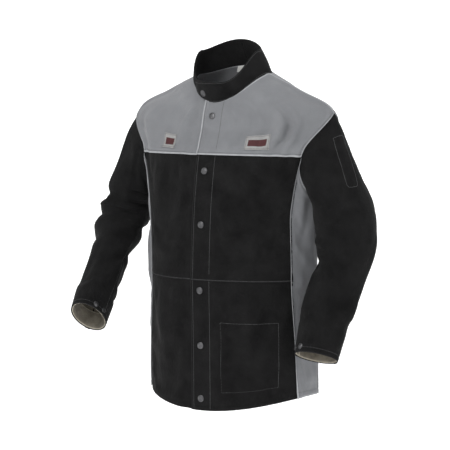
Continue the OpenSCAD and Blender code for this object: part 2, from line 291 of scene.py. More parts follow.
# ---- the sleeves' skins, drawn for the wearer's left: the right one is mirrored ----
def arm_skin(rings, side, folds):
    """A sleeve's skin at (phi, q): phi goes round the arm, and q down it from the armhole at 0."""
    def ring(i, phi):
        if i == 0:
            angle, t = armhole(phi)
            p = body.point(side * angle, t)
            return p * [side, 1, 1]
        r = rings[i - 1]
        last = len(rings)
        after = rings[min(i, last - 1), :3]
        before = rings[i - 2, :3] if i > 1 else np.array([235, 0, 570.0])
        axis = unit(after - before)
        across = unit(np.array([1.0, 0, 0]) - axis[0] * axis)
        c, s = np.cos(np.radians(phi)), np.sin(np.radians(phi))
        return r[:3] + np.cross(axis, across) * r[4] * c[..., None] + across * r[3] * s[..., None]

    grid_phi = np.arange(-36, 397, 1.5)
    table = np.stack([ring(i, grid_phi) for i in range(len(rings) + 1)])

    def base(phi, q):
        phi, q = np.broadcast_arrays(np.asarray(phi, float), np.asarray(q, float))
        place = (phi % 360 - grid_phi[0]) / 1.5
        j = np.floor(place).astype(int)
        u = (place - j)[..., None]
        last = len(table) - 1
        i = np.clip(np.floor(q).astype(int), 0, last - 1)
        w = (q - i)[..., None]
        rows = [table[np.clip(i + k, 0, last), j] * (1 - u) + table[np.clip(i + k, 0, last), j + 1] * u
                for k in (-1, 0, 1, 2)]
        p, a, b, s = rows
        square = 2 * p - 5 * a + 4 * b - s
        cube = 3 * a - p - 3 * b + s
        point = 0.5 * (2 * a + (b - p) * w + square * w**2 + cube * w**3)
        return point * [side, 1, 1]

    def still(phi, q):
        return smooth(0, 0.4, q) * (1 - smooth(4.2, 4.6, q))

    return Skin(base, folds, -side, still)


# height, phi, q, half width in degrees, half length in steps, slope in degrees per step
LEFT_FOLDS = [
    (-4, 115, 0.85, 34, 0.22, 0),
    (7, 300, 1.45, 30, 0.5, 0),
    (5.5, 292, 2.12, 28, 0.36, 0),
    (-4, 318, 2.08, 22, 0.09, 110),
    (3.5, 322, 2.26, 24, 0.10, 110),
    (-5, 328, 2.44, 24, 0.09, 100),
    (3.5, 334, 2.60, 24, 0.09, 90),
    (-12, 297, 2.76, 24, 0.19, 30),
    (-3, 345, 1.6, 20, 0.12, 60),
    (3, 60, 1.25, 18, 0.4, 20),
    (-3, 20, 0.9, 16, 0.5, 20),
    (-3, 40, 3.3, 18, 0.8, 10),
    (3, 75, 3.2, 18, 0.8, 10),
]
RIGHT_FOLDS = [
    (6, 80, 0.2, 30, 0.35, 0),
    (-13, 52, 1.30, 44, 0.16, 25),
    (-4, 52, 1.47, 36, 0.05, 25),
    (5, 20, 1.66, 44, 0.07, -40),
    (-9, 30, 1.93, 50, 0.10, 60),
    (5, 40, 2.25, 40, 0.12, 60),
    (-6, 52, 2.60, 40, 0.12, 60),
    (-7, 316, 0.90, 20, 0.10, 150),
    (6, 300, 1.12, 22, 0.10, 150),
    (-8, 292, 1.42, 26, 0.10, 150),
    (8, 325, 1.62, 30, 0.09, 130),
    (-7, 318, 1.84, 26, 0.08, 130),
    (7, 290, 2.10, 28, 0.09, 110),
    (-11, 228, 2.02, 30, 0.14, 60),
    (8, 318, 2.32, 26, 0.09, 110),
    (-8, 300, 2.52, 28, 0.10, 100),
    (-12, 236, 2.62, 34, 0.20, 40),
    (6, 290, 2.82, 26, 0.10, 90),
    (-5, 285, 3.10, 24, 0.12, 70),
    (3, 340, 3.4, 18, 0.8, 8),
    (-3, 10, 3.6, 16, 0.7, 8),
]


# ---- drape: the cloth simulation moves a skin a little, and its seams stay ----
SETTLE_FRAMES = 24


def drape(skin, a_range, b_range, columns, rows, held, cap, swell, seed):
    """Lets the skin settle as cloth that is larger by the share swell, moving no point beyond cap."""
    a = np.linspace(*a_range, columns)
    b = np.linspace(*b_range, rows)
    grid_a, grid_b = np.meshgrid(a, b)
    start = skin.point(grid_a, grid_b)
    random = np.random.default_rng(seed)
    normals = skin.slope(skin.point, grid_a, grid_b)
    jitter = random.normal(0, 0.5, start.shape[:2])[..., None] * normals
    faces = grid_quads(np.arange(rows * columns).reshape(rows, columns))
    cloth_object = mesh_object("drape", ((start + jitter) * MM).reshape(-1, 3).tolist(), faces.tolist())
    group = cloth_object.vertex_groups.new(name="held")
    for i, w in enumerate(held(grid_a, grid_b).ravel()):
        if w > 0:
            group.add([i], float(w), "REPLACE")
    cloth = cloth_object.modifiers.new("cloth", "CLOTH")
    settings = cloth.settings
    settings.quality = 5
    settings.mass = 0.5
    settings.tension_stiffness = settings.compression_stiffness = 15
    settings.shear_stiffness = 5
    settings.bending_stiffness = 3.0
    settings.air_damping = 3
    settings.shrink_min = -swell
    settings.vertex_group_mass = "held"
    settings.pin_stiffness = 1
    settings.effector_weights.gravity = 0.15
    cloth.collision_settings.use_collision = False
    scene = bpy.context.scene
    for step in range(1, SETTLE_FRAMES + 1):
        scene.frame_set(step)
    settled = cloth_object.evaluated_get(bpy.context.evaluated_depsgraph_get())
    moved = np.empty(rows * columns * 3, np.float32)
    settled.data.vertices.foreach_get("co", moved)
    scene.frame_set(1)
    shift = moved.reshape(rows, columns, 3).astype(float) / MM - start
    for _ in range(2):
        inner = shift[1:-1, 1:-1]
        around = (shift[:-2, 1:-1] + shift[2:, 1:-1] + shift[1:-1, :-2] + shift[1:-1, 2:]) / 4
        shift[1:-1, 1:-1] = (inner + around) / 2
    size = np.linalg.norm(shift, axis=-1, keepdims=True)
    shift *= (cap * np.tanh(size / cap)) / np.maximum(size, 1e-9)
    shift *= (1 - held(grid_a, grid_b))[..., None]
    bpy.data.meshes.remove(cloth_object.data)

    def look_up(x, y):
        x = (np.asarray(x, float) - a_range[0]) % 360 / (a_range[1] - a_range[0]) * (columns - 1)
        y = (np.asarray(y, float) - b_range[0]) / (b_range[1] - b_range[0]) * (rows - 1)
        x, y = np.broadcast_arrays(np.clip(x, 0, columns - 1.001), np.clip(y, 0, rows - 1.001))
        i, j = y.astype(int), x.astype(int)
        u, w = (x - j)[..., None], (y - i)[..., None]
        low = shift[i, j] * (1 - u) + shift[i, j + 1] * u
        high = shift[i + 1, j] * (1 - u) + shift[i + 1, j + 1] * u
        return low * (1 - w) + high * w

    return look_up


# ---- panels ----
# Distances of the loops next to an edge.
EDGE = np.array([0, 0.25, 0.7, 1.3, 2.4, 3.6, 4.7, 5.6, 6.6, 8.2, 11, 15])
STITCH = 5.6  # distance of a row of stitching from its edge
SECOND_STITCH = 11.5  # the same at the hems and cuffs
WAIST_STITCH = 2.6  # the same along the upper front's bottom edge
LOW_STITCH = 22.0  # the same from the lower front's hidden top edge
COLLAR_STITCH = 3.5  # the same along the collar's bottom edge
PATCH_STITCH = 2.5
LAP_FADE = (8, 17)  # distances from its edge between which a lap falls off
SEAM_LAP = 1.7  # how far a piece stands over its neighbour at a seam
DENT_DEPTH, DENT_HALF = 0.75, 1.1  # the dent under a row of stitching
ROLL_HEIGHT, ROLL_HALF, ROLL_OUT = 0.4, 1.6, 2.8  # the roll beside it, towards the edge
MESH_STEP = 4.6  # size of the faces away from the edges
FINE = np.linspace(0, 1, 161)  # the shares at which a piece is measured
COTTON_RIM = 3.2  # width of the lighter rim of the cotton at the front: partly the folded edge's own paler colour, partly a painted highlight


def spread(lengths, middle):
    """Distances along lines of these lengths: close together near both ends, even between."""
    lengths = np.asarray(lengths, float)[:, None]
    near = EDGE * np.minimum(1, 0.42 * lengths / EDGE[-1])
    share = np.linspace(0, 1, middle + 2)[None, 1:-1]
    inner = near[:, -1:] + (lengths - 2 * near[:, -1:]) * share
    return np.concatenate([near, inner, lengths - near[:, ::-1]], 1)


def run_length(points):
    """Distance along each row of points, from its start."""
    steps = np.linalg.norm(np.diff(points, axis=-2), axis=-1)
    return np.concatenate([np.zeros(steps.shape[:-1] + (1,)), np.cumsum(steps, -1)], -1)


def inverse(length, share, wanted):
    """The shares at which each row of lengths reaches its row of wanted distances."""
    return np.stack([np.interp(w, l, share) for w, l in zip(wanted, length)])


THREAD_R = 0.5
THREAD_PITCH = 3.4
THREAD_LIFT = 0.12  # how far the thread's middle lies above the outer face
threads = {}  # what the stitching moves with, to a list of (points, normals)


def sew(group, points, normals):
    threads.setdefault(group, []).append((points, normals))


def sew_on(group, skin, a, b, height):
    """Sews along a line on a skin, on a face at this height over it."""
    sew(group, skin.place(a, b, height + THREAD_LIFT), skin.slope(skin.point, a, b))


def edge_lift(distance, lap, rows):
    """Height at a distance from an edge: the lap over the neighbour, and the dent of each row."""
    height = lap * (1 - smooth(*LAP_FADE, distance))
    for row in rows:
        height = height - DENT_DEPTH * np.exp(-(((distance - row) / DENT_HALF) ** 2))
        height = height + ROLL_HEIGHT * np.exp(-(((distance - row + ROLL_OUT) / ROLL_HALF) ** 2))
    return height


class Panel:
    """A cut piece of leather or cloth: its place on a skin, its thickness, laps and rows of stitching."""

    def __init__(self, name, skin, place, thick, laps=None, rows=None, level=0.0, drop=None, joined=None,
                 rim=2.3):
        self.name, self.skin, self.place_on, self.thick = name, skin, place, thick
        self.laps, self.rows, self.level, self.drop = laps or {}, rows or {}, level, drop
        self.joined = joined  # the side that goes on in another piece, without a rim
        self.rim = rim  # width of the lighter edge, 0 for none: partly the cut's own colour, partly a painted highlight on the rolled edge
        middle = run_length(skin.point(*place(np.full(len(FINE), 0.5), FINE)))
        self.height = middle[-1]
        self.v_of = (middle, FINE)
        self.down = spread([self.height], max(1, round(self.height / MESH_STEP)))[0]
        v = np.interp(self.down, middle, FINE)
        u, v_grid = np.meshgrid(FINE, v)
        widths = run_length(skin.point(*place(u, v_grid)))
        self.width = widths[:, -1]
        count = max(1, round(self.width.max() / MESH_STEP))
        self.across = spread(self.width, count)
        self.u = inverse(widths, FINE, self.across)
        self.v = np.repeat(v[:, None], self.u.shape[1], 1)

    def heights(self, left, right, bottom, top, a, b):
        sides = {"left": left, "right": right, "bottom": bottom, "top": top}
        height = np.full(np.shape(a), float(self.level))
        for side, distance in sides.items():
            lap, rows = self.laps.get(side, 0), self.rows.get(side, ())
            if lap or rows:
                height = height + edge_lift(distance, lap, rows)
        return height - (self.drop(a, b) if self.drop else 0)

    def build(self, group, outer, inner=None):
        """Makes the closed sheet, its edges rounded and its flat size in the UV map, and its stitching."""
        rows, columns = self.u.shape
        a, b = self.place_on(self.u, self.v)
        left, right = self.across, self.width[:, None] - self.across
        bottom = np.repeat(self.down[:, None], columns, 1)
        top = self.height - bottom
        height = self.heights(left, right, bottom, top, a, b)
        half = self.thick / 2
        sides = {"left": left, "right": right, "bottom": bottom, "top": top}
        to_edge = np.minimum.reduce([sides[k] for k in sides if k != self.joined])
        near = np.minimum(to_edge, half)
        roll = half - np.sqrt(np.maximum(half**2 - (half - near) ** 2, 0))
        normal = self.skin.slope(self.skin.point, a, b)
        base = self.skin.point(a, b)
        over = base + (height - roll)[..., None] * normal
        under = base + (height - self.thick + roll)[..., None] * normal
        border = np.ones((rows, columns), bool)
        border[1:-1, 1:-1] = False
        top_index = np.arange(rows * columns).reshape(rows, columns)
        low_index = top_index.copy()
        low_index[~border] = rows * columns + np.arange((~border).sum())
        points = np.concatenate([over.reshape(-1, 3), under[~border]])

        faces = grid_quads(top_index)
        p = points[faces]
        crossed = np.cross(p[:, 1] - p[:, 0], p[:, 2] - p[:, 0])
        facing = np.einsum("ij,ij->i", crossed, normal[:-1, :-1].reshape(-1, 3))
        flip = facing.sum() < 0
        back = grid_quads(low_index)
        faces = faces[:, ::-1] if flip else faces
        back = back if flip else back[:, ::-1]
        made = mesh_object(self.name, (points * MM).tolist(), np.concatenate([faces, back]).tolist(),
                           outer, inner or outer, RIM_TONES_AND_HIGHLIGHTS.get(outer.name, outer))
        mesh = made.data
        # faces near a free edge take the lighter rim material: partly the cut edge's own colour, partly a
        # painted highlight
        rim = (to_edge[:-1, :-1] + to_edge[1:, 1:]).ravel() / 2 < self.rim
        mesh.polygons.foreach_set("material_index", np.concatenate([rim * 2, 1 + rim]).astype(np.int32))
        flat = np.stack([self.across, bottom], -1) * MM
        flat = np.concatenate([flat.reshape(-1, 2), flat[~border]])
        layer = mesh.uv_layers.new(name="cut")
        loops = np.empty(len(mesh.loops), np.int32)
        mesh.loops.foreach_get("vertex_index", loops)
        layer.data.foreach_set("uv", flat[loops].astype(np.float32).ravel())
        if self.joined:
            shared = np.zeros((len(points), 3))  # a zero keeps the mesh's own normal
            line = top_index[0 if self.joined == "bottom" else -1]
            shared[line] = normal.reshape(-1, 3)[line]
            mesh.normals_split_custom_set_from_vertices(shared.tolist())
        area = float(np.linalg.norm(np.cross(p[:, 1] - p[:, 0], p[:, 3] - p[:, 0]), axis=1).sum()) * MM * MM
        self.flat = (round(float(self.width.max()) * MM, 3), round(float(self.height) * MM, 3))
        self.area = min(area, self.flat[0] * self.flat[1])
        self.object = made
        self.group = group
        for side, distances in self.rows.items():
            for distance in distances:
                self.sew_row(side, distance)
        attach(made, group)
        return self

    def line(self, side, distance, start=0.0, end=1.0, count=400):
        """A line at a distance from one side, as points on the outer face and their normals."""
        s = np.linspace(start, end, count)
        if side in ("bottom", "top"):
            down = distance if side == "bottom" else self.height - distance
            v = np.full(count, np.interp(down, *self.v_of))
            a, b = self.place_on(s, v)
            width = run_length(self.skin.point(*self.place_on(FINE, np.full(len(FINE), v[0]))))
            left = np.interp(s, FINE, width)
            right = width[-1] - left
            bottom, top = np.full(count, down), np.full(count, self.height - down)
        else:
            v = s
            down = np.interp(v, self.v_of[1], self.v_of[0])
            row = np.clip(np.searchsorted(self.down, down), 0, len(self.down) - 1)
            width = np.interp(down, self.down, self.width)
            left = np.full(count, distance) if side == "left" else width - distance
            u = np.array([np.interp(x, self.across[i], self.u[i]) for x, i in zip(left, row)])
            a, b = self.place_on(u, v)
            right = width - left
            bottom, top = down, self.height - down
        height = self.heights(left, right, bottom, top, a, b)
        return self.skin.place(a, b, height + THREAD_LIFT), self.skin.slope(self.skin.point, a, b)

    def sew_row(self, side, distance):
        """Sews along a side, but for its last 3 mm at each end."""
        margin = 3.0 / (self.height if side in ("left", "right") else self.width.max())
        sew(self.group, *self.line(side, distance, margin, 1 - margin))


def stitch_mesh(name, rows_of_points, material):
    """Real stitches: short round threads laid end to end along each line, sunk a little at their ends."""
    sides, rings = 6, 5
    profile = np.sin(np.linspace(0.12, math.pi - 0.12, rings))
    reach = np.linspace(-0.46, 0.46, rings) * THREAD_PITCH
    turn = np.linspace(0, 2 * math.pi, sides, endpoint=False)
    points, faces = [], []
    ring = np.arange(sides)
    one = [np.stack([ring + k * sides, (ring + 1) % sides + k * sides, (ring + 1) % sides + (k + 1) * sides,
                     ring + (k + 1) * sides], -1) for k in range(rings - 1)]
    one = np.concatenate(one)
    offset = 0
    for line, normals in rows_of_points:
        length = run_length(line)
        count = max(2, int(length[-1] / THREAD_PITCH))
        middle = (np.arange(count) + 0.5) * length[-1] / count
        spots = [np.interp(middle, length, line[:, k]) for k in range(3)]
        ahead = [np.interp(middle + 0.5, length, line[:, k]) - np.interp(middle - 0.5, length, line[:, k])
                 for k in range(3)]
        up = [np.interp(middle, length, normals[:, k]) for k in range(3)]
        spots, ahead, up = np.stack(spots, -1), unit(np.stack(ahead, -1)), unit(np.stack(up, -1))
        side = unit(np.cross(ahead, up))
        up = np.cross(side, ahead)
        radius = THREAD_R * (0.55 + 0.45 * profile)
        sink = -0.45 * (1 - profile)
        local = (reach[:, None, None] * ahead[:, None, None, :]
                 + (radius[:, None] * np.cos(turn))[None, :, :, None] * side[:, None, None, :]
                 + (radius[:, None] * np.sin(turn) + sink[:, None])[None, :, :, None] * up[:, None, None, :])
        block = spots[:, None, None, :] + local
        points.append(block.reshape(-1, 3))
        faces.append((one[None] + (offset + np.arange(count) * sides * rings)[:, None, None]).reshape(-1, 4))
        caps = np.stack([ring[::-1], ring + (rings - 1) * sides])
        hexes = caps[None] + (offset + np.arange(count) * sides * rings)[:, None, None]
        hexes = hexes.reshape(-1, sides)
        faces.append(hexes[:, [0, 1, 2, 3]])
        faces.append(hexes[:, [0, 3, 4, 5]])
        offset += count * sides * rings
    points = np.concatenate(points)
    faces = np.concatenate(faces)
    return mesh_object(name, (points * MM).tolist(), faces.tolist(), material)


def attach(piece, group):
    if group in frame["bodies"]:
        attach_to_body(piece, group)
        return
    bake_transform(piece)


# ---- the simulation ----
def body_held(angle, t):
    """1 along the seams, the front edges and the neck, 0 where the cloth is free."""
    angle, t = np.broadcast_arrays(angle, t)
    off_side = (angle + 180) % 360 - 180
    x = np.abs(on_ring(TORSO, angle, t)[..., 0])
    front = np.where(np.cos(np.radians(angle)) > 0, 1 - smooth(28, 50, x), 0)
    seam = np.abs(np.abs(off_side) - armhole_front(t))
    back_seam = np.abs(180 - np.abs(off_side) - armhole_front(t))
    near_side = 1 - smooth(1.5, 6, np.minimum(seam, back_seam))
    level = [1 - smooth(0.03, 0.3, np.abs(t - line)) for line in (0, WAIST_STEP, YOKE_STEP, NECK_STEP)]
    level[0] = 0.7 * level[0]
    level[1] = np.where(np.abs(off_side) < side_seam(t), level[1], 0)
    under_arm = np.clip(np.abs(off_side), 90 - ARMHOLE_HALF, 90 + ARMHOLE_HALF)
    hole = 1 - smooth(0.05, 0.4, np.abs(t - armpit(under_arm)))
    hole = np.where((np.abs(off_side) > 60) & (np.abs(off_side) < 120), hole, 0)
    return np.clip(np.maximum.reduce([front, near_side, *level, hole, smooth(7.2, 7.6, t)]), 0, 1)


SLEEVE_SEAMS = (-95, 150)  # angles of the seams under the arm and behind it


def arm_held(phi, q):
    seam = np.minimum.reduce([np.abs((phi - line + 180) % 360 - 180) for line in SLEEVE_SEAMS])
    ends = np.maximum(1 - smooth(0.02, 0.45, q), smooth(4.1, 4.5, q))
    return np.clip(np.maximum(ends, 0.8 * (1 - smooth(2, 10, seam))), 0, 1)


body.drape = drape(body, (0, 360), (0, NECK_STEP), 181, 121, body_held, cap=7.0, swell=0.035, seed=1)
left_arm = arm_skin(LEFT_ARM, 1, LEFT_FOLDS)
right_arm = arm_skin(RIGHT_ARM, -1, RIGHT_FOLDS)
for skin, seed in ((left_arm, 2), (right_arm, 3)):
    skin.drape = drape(skin, (-95, 265), (0, CUFF), 73, 81, arm_held, cap=6.0, swell=0.04, seed=seed)


# ---- materials ----
def add(tree, kind, **values):
    """A shader node with these socket values; an underscore in a name stands for a space."""
    node = tree.nodes.new("ShaderNode" + kind)
    for name, value in values.items():
        node.inputs[name.replace("_", " ")].default_value = value
    return node


def noise(tree, where, **values):
    made = add(tree, "TexNoise", **values)
    tree.links.new(where, made.inputs["Vector"])
    return made.outputs["Fac"]


def ramp(tree, share, low, high):
    """A colour between two stops, each given as a position and a colour."""
    made = add(tree, "ValToRGB")
    for stop, (position, colour) in zip(made.color_ramp.elements, (low, high)):
        stop.position, stop.color = position, (*colour, 1)
    tree.links.new(share, made.inputs["Fac"])
    return made.outputs["Color"]


def mixer(tree, colour, kind="MIX"):
    """A node that mixes another colour into this one."""
    made = add(tree, "Mix")
    made.data_type, made.blend_type = "RGBA", kind
    tree.links.new(colour, made.inputs["A"])
    return made


def bumped(tree, height, depth, below):
    """A normal bumped to this depth in metres, on top of the one below it."""
    made = add(tree, "Bump", Distance=depth, Strength=1.0)
    tree.links.new(height, made.inputs["Height"])
    if below:
        tree.links.new(below, made.inputs["Normal"])
    return made.outputs["Normal"]


def material(name, roughness, colours, mottle, bumps, metallic=0.0, sheen=0.0, weave=None, speck=None):
    """A procedural surface: colours mixed by noise of scale mottle, bumps as (scale, depth in metres).

    weave is the period and depth of twill lines in metres, and their angle; speck is the spots' scale, amount
    and tint.
    """
    made = bpy.data.materials.new(name)
    made.use_nodes = True
    tree = made.node_tree
    link = tree.links.new
    shader = tree.nodes["Principled BSDF"]
    shader.inputs["Roughness"].default_value = roughness
    shader.inputs["Metallic"].default_value = metallic
    shader.inputs["Sheen Weight"].default_value = sheen
    shader.inputs["Sheen Roughness"].default_value = 0.5
    shader.inputs["Specular IOR Level"].default_value = 0.5 if metallic else 0.05
    where = add(tree, "TexCoord").outputs
    share = noise(tree, where["Object"], Scale=mottle, Detail=6, Roughness=0.62)
    colour = ramp(tree, share, (0.3, colours[0]), (0.7, colours[1]))
    normal = None
    for scale, depth in bumps:
        normal = bumped(tree, noise(tree, where["Object"], Scale=scale, Detail=3), depth, normal)
    if weave:
        period, depth, angle = weave
        turned = add(tree, "Mapping", Rotation=(0, 0, math.radians(angle)))
        link(where["UV"], turned.inputs["Vector"])
        twill = add(tree, "TexWave", Scale=0.314 / period, Distortion=1.2, Detail=2, Detail_Scale=2.5)
        link(turned.outputs["Vector"], twill.inputs["Vector"])
        normal = bumped(tree, twill.outputs["Fac"], depth, normal)
        lines = mixer(tree, colour, "MULTIPLY")
        lines.inputs["Factor"].default_value = 0.22
        link(twill.outputs["Color"], lines.inputs["B"])
        colour = lines.outputs["Result"]
    if speck:
        scale, amount, tint = speck
        spots = mixer(tree, colour)
        spots.inputs["B"].default_value = (*tint, 1)
        fleck = noise(tree, where["Object"], Scale=scale, Detail=2)
        link(ramp(tree, fleck, (0.56, (0, 0, 0)), (0.74, (amount,) * 3)), spots.inputs["Factor"])
        colour = spots.outputs["Result"]
    link(colour, shader.inputs["Base Color"])
    if normal:
        link(normal, shader.inputs["Normal"])
    return made


SUEDE = material("leather_black", 0.95, [(0.0032, 0.0032, 0.0033), (0.0078, 0.0078, 0.0079)], 22,
                 [(45, 0.0016), (140, 0.0009), (700, 0.0006)], sheen=0.02,
                 speck=(1100, 0.4, (0.018, 0.018, 0.0185)))
FLESH = material("leather_flesh_side", 0.95, [(0.085, 0.076, 0.060), (0.22, 0.20, 0.162)], 38,
                 [(200, 0.0008), (900, 0.0005)], sheen=0.15)
TWILL = material("cotton_grey", 0.9, [(0.128, 0.131, 0.139), (0.158, 0.162, 0.170)], 14,
                 [(60, 0.0006)], sheen=0.12, weave=(0.0011, 0.00016, 52))
METAL = material("snap_metal", 0.42, [(0.045, 0.045, 0.047), (0.11, 0.11, 0.114)], 160,
                 [(500, 0.00005)], metallic=1.0)
# Lighter materials for the faces along a free edge: partly the cut or folded edge's own paler colour, partly
# a painted highlight where light catches the rolled edge.
RIM_TONES_AND_HIGHLIGHTS = {
    SUEDE.name: material("leather_edge", 0.95, [(0.010, 0.010, 0.0102), (0.016, 0.016, 0.0164)], 90,
                         [(500, 0.0004)]),
    FLESH.name: material("flesh_edge_and_highlight", 0.95, [(0.26, 0.24, 0.195), (0.38, 0.35, 0.29)], 120, [(500, 0.0004)]),
    TWILL.name: material("cotton_edge_and_highlight", 0.9, [(0.195, 0.2, 0.208), (0.25, 0.255, 0.264)], 90,
                         [(500, 0.0003)]),
}
THREAD = material("thread", 0.8, [(0.045, 0.045, 0.046), (0.07, 0.07, 0.071)], 300, [], sheen=0.1)
PATCH = material("patch_cloth", 0.8, [(0.20, 0.20, 0.198), (0.25, 0.25, 0.246)], 60, [],
                 weave=(0.0007, 0.0001, 0))
PATCH_DARK = material("patch_band", 0.8, [(0.04, 0.018, 0.019), (0.058, 0.023, 0.024)], 200, [])
LABEL = material("label_cloth", 0.75, [(0.62, 0.62, 0.6), (0.72, 0.72, 0.7)], 60, [],
                 weave=(0.0006, 0.0001, 0))


# ---- the pieces ----
def step_at(z):
    """The height step at which the front reaches z."""
    t = np.linspace(0, NECK_STEP, 801)
    return float(np.interp(z, along(TORSO, t)[:, 0], t))


def strip(first, last, low, high, side=1):
    """Cuts a piece between two lines of angle and two of height; each may depend on the other coordinate."""
    def place(u, v):
        t = low + (high - low) * v
        a, b = first(t), last(t)
        return side * (a + (b - a) * u), t
    return place


def line_at(x, rings=TORSO):
    """The line on the front of the rings that stays at this x."""
    return lambda t: angle_at(rings, x, t)


front_edge = line_at(-LAP)


def fixed(angle):
    return lambda t: np.full(np.shape(t), float(angle))


def under_drop(side, rings=TORSO):
    """The right front and collar end run under the left ones near the middle."""
    if side > 0:
        return None

    def drop(a, t):
        near = 1 - smooth(*LAP_EASE, -on_ring(rings, a, t)[..., 0])
        return LAP_DROP * near * (np.abs(a) < 90)
    return drop


def cut(name, group, skin, place, thick, outer, inner=None, finish=None, rests="torso", also=(), **shape):
    """Cuts a panel that moves with its group, as cloth in place of its own CAD node and those in also."""
    panel = Panel(name, skin, place, thick, **shape).build(group, outer, inner)
    own = name.rsplit("_", 1)[0]
    hidden = [node for node in (own, f"{own}_flap", *also) if node in frame["nodes"]]
    if hidden:
        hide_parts(*hidden)
    return panel


def path(group, skin, corners, height):
    """Sews along straight lines between corners, given as (a, b) on a skin."""
    points = np.array(corners, float)
    a = np.concatenate([np.linspace(p[0], q[0], 60) for p, q in zip(points[:-1], points[1:])])
    b = np.concatenate([np.linspace(p[1], q[1], 60) for p, q in zip(points[:-1], points[1:])])
    sew_on(group, skin, a, b, height)


SIDES = {"left": 1, "right": -1}
POCKET_X = (50, 166)
POCKET_Z = (41, 199)
POCKET_DEPTH = 9
GROOVE_DEPTH, GROOVE_HALF = 0.9, 3.2  # the dent along the inside pocket's stitching
PATCH_START, PATCH_END = 90, {"left": 146, "right": 134}  # how far from the middle the chest patches go
PATCH_Z = (577, 606)
BAND_IN, BAND_UP = 7, 8  # how far the band's ends and its long edges lie inside those of its patch
PATCH_THICK, PATCH_LEVEL, BAND_THICK, BAND_LEVEL = 1.0, 1.5, 0.4, 1.9
YOKE_LAP = 2.0  # how far the front yoke's hem stands over the leather below it
TUCK = 2.4  # degrees that a front runs on under the side panel
BACK_TUCK = 2.0  # degrees that the side panel's rear edge lies under the back
YOKE_ROWS = {"bottom": (STITCH,), "left": (STITCH,), "right": (STITCH,)}
# How far a piece runs on past its seam, hidden by its neighbour, in steps.
HIDDEN = {"upper": 0.13, "lower": 0.09, "back": 0.12, "neck": 0.01, "sleeve": 0.07, "collar": 0.07}
FACING_STEPS = (0.02, NECK_STEP - 0.06)
LABEL_ANGLES, LABEL_STEPS = (180, 200), (7.66, 7.98)
# Gaps between inner pieces and the leather before them.
GAP = {"facing": 0.3, "pocket": 0.4, "sleeve pocket": 0.5, "cuff": 0.7}


def side_tuck(t):
    return side_seam(t) + TUCK


def box_distance(x, y, box):
    """Distance of (x, y) from the outline of a rectangle x0, x1, y0, y1."""
    dx = np.maximum(box[0] - x, x - box[1])
    dy = np.maximum(box[2] - y, y - box[3])
    outside = np.hypot(np.maximum(dx, 0), np.maximum(dy, 0))
    return np.where((dx < 0) & (dy < 0), -np.maximum(dx, dy), outside)


def pocket_groove(a, t):
    p = on_ring(TORSO, a, t)
    distance = box_distance(p[..., 0], along(TORSO, t)[..., 0], (*POCKET_X, *POCKET_Z))
    return GROOVE_DEPTH * np.exp(-((distance / GROOVE_HALF) ** 2))


def pocket_belly(a, t):
    """How far the bag hangs in, away from the leather: nothing at its sewn edges."""
    x, z = on_ring(TORSO, a, t)[..., 0], along(TORSO, t)[..., 0]
    u = (x - POCKET_X[0]) / (POCKET_X[1] - POCKET_X[0])
    v = (z - POCKET_Z[0]) / (POCKET_Z[1] - POCKET_Z[0])
    return POCKET_DEPTH * smooth(0, 0.12, u) * smooth(0, 0.12, 1 - u) * smooth(0, 0.1, v)


def patch_drop(drop):
    """A patch follows the yoke: up where the yoke's hem laps over the leather, and down with the front."""
    def height(a, t):
        rise = YOKE_LAP * (1 - smooth(*LAP_FADE, along(TORSO, t)[..., 0] - TORSO[YOKE_STEP, 0]))
        return (drop(a, t) if drop else 0) - rise
    return height


